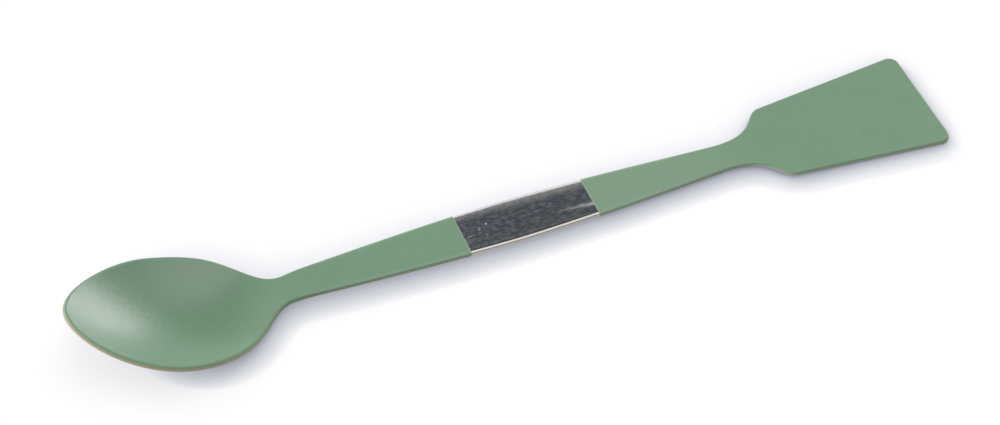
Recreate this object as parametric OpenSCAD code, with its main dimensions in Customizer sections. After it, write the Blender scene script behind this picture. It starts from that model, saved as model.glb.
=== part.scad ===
// Double-ended laboratory spatula: a spoon and a flared flat blade pressed from one
// strip of stainless sheet. Both ends carry a thin non-stick coat, and the middle of
// the handle is left bare. Millimetres, +Z up, lying as it rests on a table: on the
// underside of the spoon and on the end of the blade. The origin is on the table,
// under the middle of the length, and the spoon points towards -X.

/* [Spoon] */
// Width of the bowl across its rim
bowl_w = 28; // [22:0.5:34]
// Length of the spoon from its tip to the neck
bowl_l = 42.5; // [38:0.5:50]
// Distance from the tip to the widest place of the bowl
bowl_widest_at = 19; // [15:0.5:23]
// Distance from the tip to the lowest place of the bowl
bowl_lowest_at = 28.5; // [24:0.5:33]
// Depth of the bowl below its side rims
bowl_depth = 4.2; // [3:0.1:6]
// Height of the tip above the lowest place of the bowl
tip_rise = 13.5; // [9:0.5:17]
// How far the bowl's lowest place lies below the handle
bowl_drop = 2.7; // [1:0.1:4]
// Length of handle beyond the neck that is bent down towards the bowl
neck_bend_l = 4.5; // [2:0.5:9]

/* [Handle] */
// Length of the handle between its two necks
handle_l = 90; // [80:1:120]
// Width of the handle at its widest place
handle_w = 10.7; // [8:0.1:13]
// Distance from the spoon's neck to the widest place of the handle
handle_widest_at = 46.5; // [38:0.5:54]
// Width of the neck behind the spoon
spoon_neck_w = 6.4; // [5:0.1:8]
// Width of the neck before the blade
blade_neck_w = 6.6; // [5:0.1:8]

/* [Blade] */
// Length over which the neck widens into the blade
shoulder_l = 14.5; // [11:0.5:18]
// Width of the blade at its shoulders
shoulder_w = 18.8; // [15:0.1:22]
// Length of the blade from its shoulders to its end
blade_l = 33; // [25:0.5:45]
// Width of the blade at its end
blade_w = 25.4; // [20:0.2:30]
// Radius of the two corners at the end of the blade
corner_r = 2; // [1:0.1:4]

/* [Sheet] */
// Thickness of the steel sheet
sheet_t = 1; // [0.8:0.05:1.5]
// Radius of the tumbled edges of the sheet
edge_r = 0.3; // [0.15:0.05:0.4]
// Width of the softened top edges along the handle
handle_edge_w = 1; // [0.4:0.1:1.6]

/* [Coat] */
// Thickness of the non-stick coat
coat_t = 0.1; // [0.05:0.01:0.2]
// Distance from the spoon's neck to where the spoon's coat ends
spoon_coat_l = 35.7; // [28:0.5:42]
// Length of the bare band between the two coats
bare_l = 27.2; // [18:0.5:32]

/* [Hidden] */

steel_color = "#7d858b";
coat_color = "#7c9c80";

// How full the curves of the outline are, each as a share of the curve's own span
tip_fullness = 0.44;
rim_front_fullness = 0.48;
rim_back_fullness = 0.7;
spoon_neck_fullness = 0.28;
blade_neck_fullness = 0.82;
shoulder_fullness = 0.27;
// Power by which the handle's sides bow out from each neck to the widest place
side_bow = 1.5;

// Places along the length, measured from the tip of the steel
spoon_neck_x = bowl_l;
handle_widest_x = spoon_neck_x + handle_widest_at;
blade_neck_x = spoon_neck_x + handle_l;
shoulder_x = blade_neck_x + shoulder_l;
end_x = shoulder_x + blade_l;
bare_start_x = spoon_neck_x + spoon_coat_l;
bare_end_x = bare_start_x + bare_l;
bend_end_x = spoon_neck_x + neck_bend_l;
// Radius of the bowl across its width
bowl_cross_r = pow(bowl_w / 2, 2) / (2 * bowl_depth);
// Length over which the softened handle edge fades at each neck
edge_fade_l = 12;

// Steps along each stretch of the outline, and across the bowl and down the edges
rim_front_steps = 20;
rim_back_steps = 22;
bend_steps = 3;
coated_handle_steps = 7;
bare_steps = 5;
shoulder_steps = 14;
blade_steps = 1;
corner_steps = 6;
bowl_across_steps = 16;
top_edge_steps = 3;
bottom_edge_steps = 2;
edge_steps = top_edge_steps + 1 + bottom_edge_steps;

// ---- curves ----

function unit(v) = v / norm(v);
function left_of(way) = unit([-way.y, way.x]);
function clamp01(u) = min(max(u, 0), 1);
// Smooth step from 0 to 1, and its slope
function ease(u) = let (c = clamp01(u)) c * c * (3 - 2 * c);
function ease_slope(u) = let (c = clamp01(u)) 6 * c * (1 - c);
// Cubic curve through the first and last of four points, and its direction
function curve(p, t) = let (s = 1 - t)
    s * s * s * p[0] + 3 * s * s * t * p[1] + 3 * s * t * t * p[2] + t * t * t * p[3];
function curve_way(p, t) = let (s = 1 - t)
    s * s * (p[1] - p[0]) + 2 * s * t * (p[2] - p[1]) + t * t * (p[3] - p[2]);

// ---- outline: a list of [point, outward normal] along the +Y side, tip to end ----

// The handle's side bows out from a neck to the widest place
function side_reach(x) = x < handle_widest_x
    ? (handle_widest_x - x) / (handle_widest_x - spoon_neck_x)
    : (x - handle_widest_x) / (blade_neck_x - handle_widest_x);
function neck_w_at(x) = x < handle_widest_x ? spoon_neck_w : blade_neck_w;
function side_y(x) = handle_w / 2 - (handle_w - neck_w_at(x)) / 2 * pow(side_reach(x), side_bow);
spoon_neck_slope = side_bow * (handle_w - spoon_neck_w) / 2 / handle_widest_at;
blade_neck_slope = -side_bow * (handle_w - blade_neck_w) / 2 / (handle_l - handle_widest_at);
function side_slope(x) = x < handle_widest_x
    ? spoon_neck_slope * pow(side_reach(x), side_bow - 1)
    : blade_neck_slope * pow(side_reach(x), side_bow - 1);

rim_back_l = spoon_neck_x - bowl_widest_at;
rim_front = [
    [0, 0],
    [0, tip_fullness * bowl_w / 2],
    [(1 - rim_front_fullness) * bowl_widest_at, bowl_w / 2],
    [bowl_widest_at, bowl_w / 2]];
rim_back = [
    [bowl_widest_at, bowl_w / 2],
    [bowl_widest_at + rim_back_fullness * rim_back_l, bowl_w / 2],
    [spoon_neck_x, spoon_neck_w / 2] - spoon_neck_fullness * rim_back_l * [1, spoon_neck_slope],
    [spoon_neck_x, spoon_neck_w / 2]];
blade_side_slope = (blade_w - shoulder_w) / 2 / blade_l;
shoulder = [
    [blade_neck_x, blade_neck_w / 2],
    [blade_neck_x, blade_neck_w / 2] + blade_neck_fullness * shoulder_l * [1, blade_neck_slope],
    [shoulder_x, shoulder_w / 2] - shoulder_fullness * shoulder_l * [1, blade_side_slope],
    [shoulder_x, shoulder_w / 2]];
// The end corner is an arc that touches the blade's side and its end
blade_side_angle = atan(blade_side_slope);
corner_x = end_x - corner_r;
corner_y = shoulder_w / 2 + blade_side_slope * (corner_x - shoulder_x)
    - corner_r / cos(blade_side_angle);
side_normal = [-sin(blade_side_angle), cos(blade_side_angle)];
side_end = [corner_x, corner_y] + corner_r * side_normal;

function along_curve(p, steps) =
    [for (i = [1 : steps]) let (t = i / steps) [curve(p, t), left_of(curve_way(p, t))]];
function along_side(from_x, to_x, steps) =
    [for (i = [1 : steps]) let (x = from_x + (to_x - from_x) * i / steps)
        [[x, side_y(x)], left_of([1, side_slope(x)])]];
function along_blade(steps) =
    [for (i = [1 : steps]) [shoulder[3] + (side_end - shoulder[3]) * i / steps, side_normal]];
function along_corner(steps) =
    [for (i = [1 : steps]) let (a = (90 + blade_side_angle) * (1 - i / steps))
        [[corner_x, corner_y] + corner_r * [cos(a), sin(a)], [cos(a), sin(a)]]];

stations = concat(
    [[[0, 0], [-1, 0]]],
    along_curve(rim_front, rim_front_steps),
    along_curve(rim_back, rim_back_steps),
    along_side(spoon_neck_x, bend_end_x, bend_steps),
    along_side(bend_end_x, bare_start_x, coated_handle_steps),
    along_side(bare_start_x, bare_end_x, bare_steps),
    along_side(bare_end_x, blade_neck_x, coated_handle_steps),
    along_curve(shoulder, shoulder_steps),
    along_blade(blade_steps),
    along_corner(corner_steps));
tip_station = 0;
flat_start = rim_front_steps + rim_back_steps + bend_steps;
bare_start = flat_start + coated_handle_steps;
bare_end = bare_start + bare_steps;
end_station = len(stations) - 1;

// ---- form of the sheet, with the handle's underside level at height 0 ----

// How much of the bowl's shape is present at x: 1 in the bowl, 0 along the handle
function bowl_share_u(x) = (bend_end_x - x) / (bend_end_x - bowl_lowest_at);
function front_u(x) = max(1 - x / bowl_lowest_at, 0);
function middle_h(x) = sheet_t - bowl_drop * ease(bowl_share_u(x)) + tip_rise * pow(front_u(x), 2);
function middle_slope(x) = bowl_drop * ease_slope(bowl_share_u(x)) / (bend_end_x - bowl_lowest_at)
    - 2 * tip_rise * front_u(x) / bowl_lowest_at;
function cross_curve(x) = ease(bowl_share_u(x)) / bowl_cross_r;
function cross_change(x) =
    -ease_slope(bowl_share_u(x)) / (bend_end_x - bowl_lowest_at) / bowl_cross_r;

// Top of the sheet over a plan point, and the sheet's upward normal there
function top_of(q) = [q.x, q.y, middle_h(q.x) + cross_curve(q.x) * q.y * q.y / 2];
function normal_of(q) = unit([
    -middle_slope(q.x) - cross_change(q.x) * q.y * q.y / 2,
    -cross_curve(q.x) * q.y,
    1]);

// Width of the rounded top edge: wider along the handle, the sheet's own at both ends
function top_edge_w(x) = edge_r + (handle_edge_w - edge_r)
    * ease((x - spoon_neck_x) / edge_fade_l) * ease((blade_neck_x - x) / edge_fade_l);
// Edge section as [distance in from the outline, depth below the top], top to bottom,
// at the steel's surface (grow = 0) or outside it by grow
function edge_section(x, grow) = let (w = top_edge_w(x), low = sheet_t - edge_r) concat(
    [for (i = [0 : top_edge_steps]) let (a = 90 * i / top_edge_steps)
        [w - (w + grow) * sin(a), edge_r - (edge_r + grow) * cos(a)]],
    [for (i = [0 : bottom_edge_steps]) let (a = 90 * i / bottom_edge_steps)
        [edge_r - (edge_r + grow) * cos(a), low + (edge_r + grow) * sin(a)]]);

// A point of the skin: share across the sheet from -1 to 1, at a point e of the section
function skin_point(station, share, e) = let (
    inner = station[0] - e[0] * station[1],
    q = [inner.x, share * inner.y]) top_of(q) - e[1] * normal_of(q);

// ---- how it rests: turned about the blade's end until the bowl meets the table ----

last = stations[end_station];
end_section = edge_section(end_x, coat_t);
blade_foot = skin_point(last, 0, end_section[edge_steps]);
rest_tilt = max([for (i = [1 : rim_front_steps + rim_back_steps]) let (
    s = stations[i],
    p = skin_point(s, 0, edge_section(s[0].x, coat_t)[edge_steps]))
    atan2(blade_foot.z - p.z, blade_foot.x - p.x)]);
function tilted(p) = let (d = p - blade_foot)
    [d.x * cos(rest_tilt) + d.z * sin(rest_tilt), d.y, d.z * cos(rest_tilt) - d.x * sin(rest_tilt)];
tip_section = edge_section(0, coat_t);
reach_min = min([for (e = tip_section) tilted(skin_point(stations[0], 0, e)).x]);
reach_max = max([for (e = end_section) tilted(skin_point(last, 0, e)).x]);
function placed(p) = tilted(p) - [(reach_min + reach_max) / 2, 0, 0];

// ---- skins: closed loops round the section at each station, a seam at the tip and a
//      flat end at the blade ----

// The bowl needs columns across the sheet, and the flat stretch behind it needs none
function across_at(i) = i < flat_start ? bowl_across_steps : 1;
function loop_size(i) = 2 * (across_at(i) + edge_steps);
function share_at(i, j) = 2 * j / across_at(i) - 1;

function seam(grow) = let (section = edge_section(0, grow))
    [for (e = section) placed(skin_point(stations[tip_station], 0, e))];
function loop(i, grow) = let (
    station = stations[i],
    columns = across_at(i),
    section = edge_section(station[0].x, grow)) concat(
    [for (j = [0 : columns]) placed(skin_point(station, share_at(i, j), section[0]))],
    [for (k = [1 : edge_steps - 1]) placed(skin_point(station, 1, section[k]))],
    [for (j = [columns : -1 : 0])
        placed(skin_point(station, share_at(i, j), section[edge_steps]))],
    [for (k = [edge_steps - 1 : -1 : 1]) placed(skin_point(station, -1, section[k]))]);

function has_tip(first) = first == tip_station;
function has_end(final) = final == end_station;
function skin_points(first, final, grow) = concat(
    has_tip(first) ? seam(grow) : [],
    [for (i = [max(first, 1) : final]) each loop(i, grow)]);

// How many points the loops from station a to the one before i have
function points_between(a, i) =
    max(min(i, flat_start) - a, 0) * loop_size(tip_station)
    + max(i - max(a, flat_start), 0) * loop_size(flat_start);
// Number of a loop's point m at the tip, where the loop folds onto the seam
function seam_number(m) =
    m <= bowl_across_steps ? 0
    : m <= bowl_across_steps + edge_steps ? m - bowl_across_steps
    : m <= 2 * bowl_across_steps + edge_steps ? edge_steps
    : loop_size(tip_station) - m;
function point_number(first, i, m) = let (mm = m % loop_size(i))
    i == tip_station ? seam_number(mm)
    : (has_tip(first) ? edge_steps + 1 + points_between(1, i) : points_between(first, i)) + mm;
// Which point of the loop at i + 1 faces point m of the loop at i
function facing(i, m) = let (from = across_at(i), to = across_at(i + 1))
    m <= from ? round(m * to / from)
    : m <= from + edge_steps ? m - from + to
    : m <= 2 * from + edge_steps
        ? to + edge_steps + round((m - from - edge_steps) * to / from)
    : m - 2 * from + 2 * to;

// Two triangles of a four-sided facet, or one where two of its corners are the same
function facet(a, b, c, d) = a == b ? [[a, c, d]] : c == d ? [[a, b, c]] : [[a, b, c], [a, c, d]];
function side_faces(first, i) = [for (m = [0 : loop_size(i) - 1]) each facet(
    point_number(first, i, m), point_number(first, i, m + 1),
    point_number(first, i + 1, facing(i, m + 1)), point_number(first, i + 1, facing(i, m)))];
function end_faces(first) = [for (k = [0 : edge_steps - 1]) each facet(
    point_number(first, end_station, loop_size(end_station) - k),
    point_number(first, end_station, k + 1),
    point_number(first, end_station, k + 2),
    point_number(first, end_station, loop_size(end_station) - k - 1))];
function skin_faces(first, final) = concat(
    [for (i = [first : final - 1]) each side_faces(first, i)],
    has_end(final) ? end_faces(first) : []);
function turned(faces, offset) = [for (f = faces) [for (n = [2 : -1 : 0]) f[n] + offset]];

// A coat is the skin outside the steel, the steel's own skin and the ring between them
// at the coat's open end
module coat(first, final, open_at) {
    outer = skin_points(first, final, coat_t);
    inner = skin_points(first, final, 0);
    faces = skin_faces(first, final);
    ring = [for (m = [0 : loop_size(open_at) - 1]) each facet(
        point_number(first, open_at, m), point_number(first, open_at, m + 1),
        point_number(first, open_at, m + 1) + len(outer),
        point_number(first, open_at, m) + len(outer))];
    polyhedron(
        points = concat(outer, inner),
        faces = concat(faces, turned(faces, len(outer)),
            open_at == final ? ring : turned(ring, 0)));
}

// ---- pieces ----

// The one-piece steel spatula: spoon, handle and blade
module steel_body() {
    color(steel_color) polyhedron(
        points = skin_points(tip_station, end_station, 0),
        faces = skin_faces(tip_station, end_station));
}

// The coat round the spoon and the part of the handle next to it
module spoon_coat() {
    color(coat_color) coat(tip_station, bare_start, bare_start);
}

// The coat round the blade and the part of the handle next to it
module blade_coat() {
    color(coat_color) coat(bare_end, end_station, bare_end);
}

steel_body();
spoon_coat();
blade_coat();
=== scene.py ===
"""Double-ended laboratory spatula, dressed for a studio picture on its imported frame.

The steel strip and the two non-stick coats are surfaces worked out with numpy from the same
driving sizes as the solid part. The strip's own frame has x along the length from the tip of
the spoon, y across the width and z up, with the underside of the handle at height 0. The
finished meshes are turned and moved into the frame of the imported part, lying at rest.
"""

import logging
import math
from dataclasses import dataclass, field
from enum import Enum
from typing import Any, Mapping, Optional, Sequence, Union

import bmesh
import bpy
import numpy as np
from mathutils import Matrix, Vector


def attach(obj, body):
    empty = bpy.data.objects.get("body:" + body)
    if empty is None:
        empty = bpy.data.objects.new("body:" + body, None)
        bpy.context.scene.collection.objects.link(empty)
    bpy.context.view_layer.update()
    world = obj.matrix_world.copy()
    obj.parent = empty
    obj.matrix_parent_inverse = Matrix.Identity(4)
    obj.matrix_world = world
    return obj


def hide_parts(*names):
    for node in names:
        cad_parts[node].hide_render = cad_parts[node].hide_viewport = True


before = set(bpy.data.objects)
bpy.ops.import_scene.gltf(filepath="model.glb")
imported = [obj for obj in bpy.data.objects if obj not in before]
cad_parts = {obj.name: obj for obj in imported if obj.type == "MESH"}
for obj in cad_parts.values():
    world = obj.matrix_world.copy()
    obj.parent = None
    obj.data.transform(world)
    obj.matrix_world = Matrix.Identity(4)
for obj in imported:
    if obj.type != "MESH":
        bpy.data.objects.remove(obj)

LOG = logging.getLogger("spatula")
MM = 0.001
BODY = "root"
RIM_CODE = "rim"
MERGE_DISTANCE = 1e-8
NOISE_MIDDLE = 0.5

Array = np.ndarray
Pair = tuple[float, float]
Triple = tuple[float, float, float]
Colour = tuple[float, float, float, float]


def display(red: int, green: int, blue: int) -> Colour:
    """Turns a colour as a screen shows it into the linear colour that shaders use.

    Each channel c in 0..1 becomes ((c + 0.055) / 1.055) ^ 2.4, or c / 12.92 near black.

    Args:
        red: Red as shown, 0 to 255.
        green: Green as shown, 0 to 255.
        blue: Blue as shown, 0 to 255.

    Returns:
        The linear colour with full opacity.
    """
    shown = np.array([red, green, blue]) / 255
    linear = np.where(shown > 0.04045, ((shown + 0.055) / 1.055) ** 2.4, shown / 12.92)
    return (*map(float, linear), 1.0)


# ---------------------------------------------------------------- form of the strip


def unit(vectors: Array) -> Array:
    """Scales each vector along the last axis to length 1."""
    return vectors / np.linalg.norm(vectors, axis=-1, keepdims=True)


def way_to(bearing: float, height: float) -> Triple:
    """Unit vector (cos b cos h, sin b cos h, sin h) to bearing b and height h in degrees."""
    b, h = math.radians(bearing), math.radians(height)
    return math.cos(b) * math.cos(h), math.sin(b) * math.cos(h), math.sin(h)


def left_of(ways: Array) -> Array:
    """Turns plan directions a quarter turn to the left and scales them to length 1."""
    return unit(np.stack([-ways[..., 1], ways[..., 0]], axis=-1))


def ease(share: Array) -> Array:
    """Smooth step 3u^2 - 2u^3 from 0 to 1, level outside."""
    u = np.clip(share, 0, 1)
    return u * u * (3 - 2 * u)


def ease_slope(share: Array) -> Array:
    """Slope 6u(1 - u) of the smooth step."""
    u = np.clip(share, 0, 1)
    return 6 * u * (1 - u)


@dataclass(frozen=True)
class Outline:
    """A stretch of the +Y side of the strip in plan, with its outward normals."""

    points: Array
    normals: Array

    @staticmethod
    def joined(stretches: Sequence["Outline"]) -> "Outline":
        """Joins stretches that follow each other into one."""
        return Outline(
            np.concatenate([s.points for s in stretches]),
            np.concatenate([s.normals for s in stretches]),
        )

    @staticmethod
    def on_curve(controls: Array, steps: int) -> "Outline":
        """Follows a cubic curve through the first and last of four control points.

        The point at t is (1-t)^3 a + 3(1-t)^2 t b + 3(1-t) t^2 c + t^3 d. The start of the
        curve is left out, because the stretch before it ends there.

        Args:
            controls: The four control points, as rows.
            steps: Number of points along the curve.

        Returns:
            The stretch along the curve.
        """
        t = np.arange(1, steps + 1)[:, None] / steps
        s = 1 - t
        a, b, c, d = controls
        points = s**3 * a + 3 * s * s * t * b + 3 * s * t * t * c + t**3 * d
        ways = s * s * (b - a) + 2 * s * t * (c - b) + t * t * (d - c)
        return Outline(points, left_of(ways))


@dataclass(frozen=True)
class StripForm:
    """Sizes of the pressed strip, and the surfaces that follow from them."""

    bowl_width: float = 28 * MM
    bowl_length: float = 42.5 * MM
    bowl_widest_at: float = 19 * MM
    bowl_lowest_at: float = 28.5 * MM
    bowl_depth: float = 4.2 * MM
    tip_rise: float = 13.5 * MM
    bowl_drop: float = 2.7 * MM
    neck_bend_length: float = 4.5 * MM
    handle_length: float = 90 * MM
    handle_width: float = 10.7 * MM
    handle_widest_at: float = 46.5 * MM
    spoon_neck_width: float = 6.4 * MM
    blade_neck_width: float = 6.6 * MM
    shoulder_length: float = 14.5 * MM
    shoulder_width: float = 18.8 * MM
    blade_length: float = 33 * MM
    blade_width: float = 25.4 * MM
    corner_radius: float = 2 * MM
    sheet: float = 1 * MM
    edge_radius: float = 0.3 * MM
    handle_edge_width: float = 1 * MM
    edge_fade_length: float = 12 * MM
    spoon_coat_length: float = 35.7 * MM
    bare_length: float = 27.2 * MM
    coat_thickness: float = 0.1 * MM
    tip_fullness: float = 0.44
    rim_front_fullness: float = 0.48
    rim_back_fullness: float = 0.7
    spoon_neck_fullness: float = 0.28
    blade_neck_fullness: float = 0.82
    shoulder_fullness: float = 0.27
    side_bow: float = 1.5

    @property
    def handle_widest_x(self) -> float:
        """Place of the handle's widest point."""
        return self.bowl_length + self.handle_widest_at

    @property
    def blade_neck_x(self) -> float:
        """Place of the neck before the blade."""
        return self.bowl_length + self.handle_length

    @property
    def shoulder_x(self) -> float:
        """Place of the blade's shoulders."""
        return self.blade_neck_x + self.shoulder_length

    @property
    def end_x(self) -> float:
        """Place of the blade's end."""
        return self.shoulder_x + self.blade_length

    @property
    def bend_end_x(self) -> float:
        """Place where the bend towards the bowl begins on the handle."""
        return self.bowl_length + self.neck_bend_length

    @property
    def bare_start_x(self) -> float:
        """Place where the spoon's coat ends."""
        return self.bowl_length + self.spoon_coat_length

    @property
    def bare_end_x(self) -> float:
        """Place where the blade's coat starts."""
        return self.bare_start_x + self.bare_length

    @property
    def blade_side_slope(self) -> float:
        """How much the blade's side moves out for each unit of length."""
        return (self.blade_width - self.shoulder_width) / 2 / self.blade_length

    # ---- outline

    def _handle_side(self, x: Array) -> tuple[Array, Array]:
        """Half width of the handle and its slope.

        From each neck the side bows out to the widest place: half the width less the neck's
        shortfall times reach^bow, where reach is 1 at the neck and 0 at the widest place.

        Args:
            x: Places along the length.

        Returns:
            The half widths, and how much they grow for each unit of length.
        """
        before = x < self.handle_widest_x
        span = np.where(before, self.handle_widest_at, self.handle_length - self.handle_widest_at)
        neck = np.where(before, self.spoon_neck_width, self.blade_neck_width)
        reach = np.abs(x - self.handle_widest_x) / span
        shortfall = (self.handle_width - neck) / 2
        half = self.handle_width / 2 - shortfall * reach**self.side_bow
        slope = self.side_bow * shortfall * reach ** (self.side_bow - 1) / span
        return half, np.where(before, slope, -slope)

    def tip(self) -> Outline:
        """The single point at the tip of the spoon."""
        return Outline(np.zeros((1, 2)), np.array([[-1.0, 0.0]]))

    def rim_front(self, steps: int) -> Outline:
        """Rim from the tip to the widest place of the bowl: one cubic curve.

        Args:
            steps: Number of points along it.

        Returns:
            The stretch, without the tip itself.
        """
        half = self.bowl_width / 2
        controls = [
            [0, 0],
            [0, self.tip_fullness * half],
            [(1 - self.rim_front_fullness) * self.bowl_widest_at, half],
            [self.bowl_widest_at, half],
        ]
        return Outline.on_curve(np.array(controls), steps)

    def rim_back(self, steps: int) -> Outline:
        """Rim from the widest place of the bowl to the neck: one cubic curve.

        Args:
            steps: Number of points along it.

        Returns:
            The stretch, which meets the handle's side in its own direction.
        """
        half, span = self.bowl_width / 2, self.bowl_length - self.bowl_widest_at
        neck_half, neck_slope = self._handle_side(np.array(self.bowl_length))
        neck = np.array([self.bowl_length, neck_half])
        controls = [
            [self.bowl_widest_at, half],
            [self.bowl_widest_at + self.rim_back_fullness * span, half],
            neck - self.spoon_neck_fullness * span * np.array([1, neck_slope]),
            neck,
        ]
        return Outline.on_curve(np.array(controls), steps)

    def handle(self, places: Array) -> Outline:
        """Side of the handle at the given places along the length."""
        half, slope = self._handle_side(places)
        return Outline(
            np.stack([places, half], axis=-1),
            left_of(np.stack([np.ones_like(places), slope], axis=-1)),
        )

    def shoulder(self, steps: int) -> Outline:
        """Side from the blade's neck out to its shoulder: one cubic curve.

        Args:
            steps: Number of points along it.

        Returns:
            The stretch, in line with the handle's side and with the blade's.
        """
        neck_half, neck_slope = self._handle_side(np.array(self.blade_neck_x))
        neck = np.array([self.blade_neck_x, neck_half])
        end = np.array([self.shoulder_x, self.shoulder_width / 2])
        span, side_way = self.shoulder_length, np.array([1, self.blade_side_slope])
        controls = [
            neck,
            neck + self.blade_neck_fullness * span * np.array([1, neck_slope]),
            end - self.shoulder_fullness * span * side_way,
            end,
        ]
        return Outline.on_curve(np.array(controls), steps)

    def blade_side(self, side_steps: int, corner_steps: int) -> Outline:
        """Straight side of the blade and the arc of its end corner.

        Args:
            side_steps: Number of points along the straight side.
            corner_steps: Number of points round the corner.

        Returns:
            The stretch from the shoulder to the flat end.
        """
        lean = math.atan(self.blade_side_slope)
        centre_x = self.end_x - self.corner_radius
        run = centre_x - self.shoulder_x
        side_at_centre = self.shoulder_width / 2 + self.blade_side_slope * run
        centre = np.array([centre_x, side_at_centre - self.corner_radius / math.cos(lean)])
        side_normal = np.array([-math.sin(lean), math.cos(lean)])
        start = np.array([self.shoulder_x, self.shoulder_width / 2])
        share = np.arange(1, side_steps + 1)[:, None] / side_steps
        side = start + (centre + self.corner_radius * side_normal - start) * share
        angle = (math.pi / 2 + lean) * (1 - np.arange(1, corner_steps + 1) / corner_steps)
        round_normals = np.stack([np.cos(angle), np.sin(angle)], axis=-1)
        corner = centre + self.corner_radius * round_normals
        return Outline(
            np.concatenate([side, corner]),
            np.concatenate([np.broadcast_to(side_normal, side.shape), round_normals]),
        )

    # ---- sheet

    def _shape_at(self, x: Array) -> tuple[Array, Array, Array, Array]:
        """Height, slope, cross curvature and its change along the middle of the sheet.

        The sheet sinks by the bowl's drop along a smooth step u from the handle to the lowest
        place, and rises to the tip by tip_rise times the square of the share of the way to it.
        Its curvature across grows with the same step to that of the bowl.

        Args:
            x: Places along the length.

        Returns:
            Heights of the top, their slopes, curvatures across, and how these change with x.
        """
        bend = self.bend_end_x - self.bowl_lowest_at
        u = (self.bend_end_x - x) / bend
        front = np.maximum(1 - x / self.bowl_lowest_at, 0)
        full_curve = 2 * self.bowl_depth / (self.bowl_width / 2) ** 2
        height = self.sheet - self.bowl_drop * ease(u) + self.tip_rise * front**2
        sinking = self.bowl_drop * ease_slope(u) / bend
        slope = sinking - 2 * self.tip_rise * front / self.bowl_lowest_at
        return height, slope, ease(u) * full_curve, -ease_slope(u) / bend * full_curve

    def below_top(self, x: Array, y: Array, depth: Array) -> Array:
        """Points of the sheet at a depth below its top, measured along the top's normal.

        The top over (x, y) is at h(x) + c(x) y^2 / 2, so its normal is in the direction of
        (-h'(x) - c'(x) y^2 / 2, -c(x) y, 1).

        Args:
            x: Places along the length.
            y: Places across the width.
            depth: Depths below the top.

        Returns:
            The points, with x, y and z along the last axis.
        """
        height, slope, curve, curve_change = self._shape_at(x)
        top = np.stack([x, y, height + curve * y * y / 2], axis=-1)
        back = -slope - curve_change * y * y / 2
        normal = np.stack([back, -curve * y, np.ones_like(y)], axis=-1)
        return top - depth[..., None] * unit(normal)

    def top_edge_width(self, x: Array) -> Array:
        """Width of the rounded top edge: the edge radius, and wider along the handle.

        What the handle's edge is wider fades out towards both necks by a smooth step.

        Args:
            x: Places along the length.

        Returns:
            The widths.
        """
        from_spoon, from_blade = x - self.bowl_length, self.blade_neck_x - x
        length = self.edge_fade_length
        fade = ease(from_spoon / length) * ease(from_blade / length)
        return self.edge_radius + (self.handle_edge_width - self.edge_radius) * fade


@dataclass(frozen=True)
class Section:
    """How finely the loop round the strip's section is divided, and where its points lie."""

    columns: int = 56
    top_steps: int = 9
    wall_steps: int = 2
    bottom_steps: int = 6

    @property
    def rows(self) -> int:
        """Number of steps down one edge, from the top to the underside."""
        return self.top_steps + self.wall_steps + self.bottom_steps

    @property
    def rim(self) -> Array:
        """Height code down one edge: 0 to 1 round the top, to 2 down the wall, to 3 below."""
        return np.concatenate(
            [
                np.linspace(0, 1, self.top_steps + 1),
                np.linspace(1, 2, self.wall_steps + 1)[1:],
                np.linspace(2, 3, self.bottom_steps + 1)[1:],
            ]
        )

    @property
    def loop(self) -> tuple[Array, Array]:
        """Goes round the section: over the top, down one edge, back below and up the other.

        Returns:
            The share across (-1 to 1) and the row number of each point.
        """
        across = np.linspace(-1, 1, self.columns + 1)
        down = np.arange(1, self.rows)
        share = np.concatenate([across, np.ones(len(down)), across[::-1], -np.ones(len(down))])
        row = np.concatenate(
            [np.zeros(len(across), int), down, np.full(len(across), self.rows), down[::-1]]
        )
        return share, row

    def edge(self, form: StripForm, x: Array, grow: Array) -> tuple[Array, Array]:
        """Distance in from the outline and depth below the top, for each row of an edge.

        The top edge is a quarter ellipse, the wall is straight, and the bottom edge is a
        quarter circle. A skin outside the steel has all its radii larger by grow.

        Args:
            form: The strip.
            x: Places along the length, one for each station.
            grow: Distance of the skin outside the steel, one for each station.

        Returns:
            Distances in and depths, with the rows along the last axis.
        """
        wide, out = form.top_edge_width(x)[:, None], grow[:, None]
        radius = form.edge_radius
        top = np.linspace(0, math.pi / 2, self.top_steps + 1)
        bottom = np.linspace(0, math.pi / 2, self.bottom_steps + 1)
        low = form.sheet - radius
        wall = np.linspace(radius, low, self.wall_steps + 1)[1:-1]
        inset = [
            wide - (wide + out) * np.sin(top),
            -out + 0 * wall,
            radius - (radius + out) * np.cos(bottom),
        ]
        depth = [
            radius - (radius + out) * np.cos(top),
            wall + 0 * out,
            low + (radius + out) * np.sin(bottom),
        ]
        return np.concatenate(inset, axis=-1), np.concatenate(depth, axis=-1)


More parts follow.
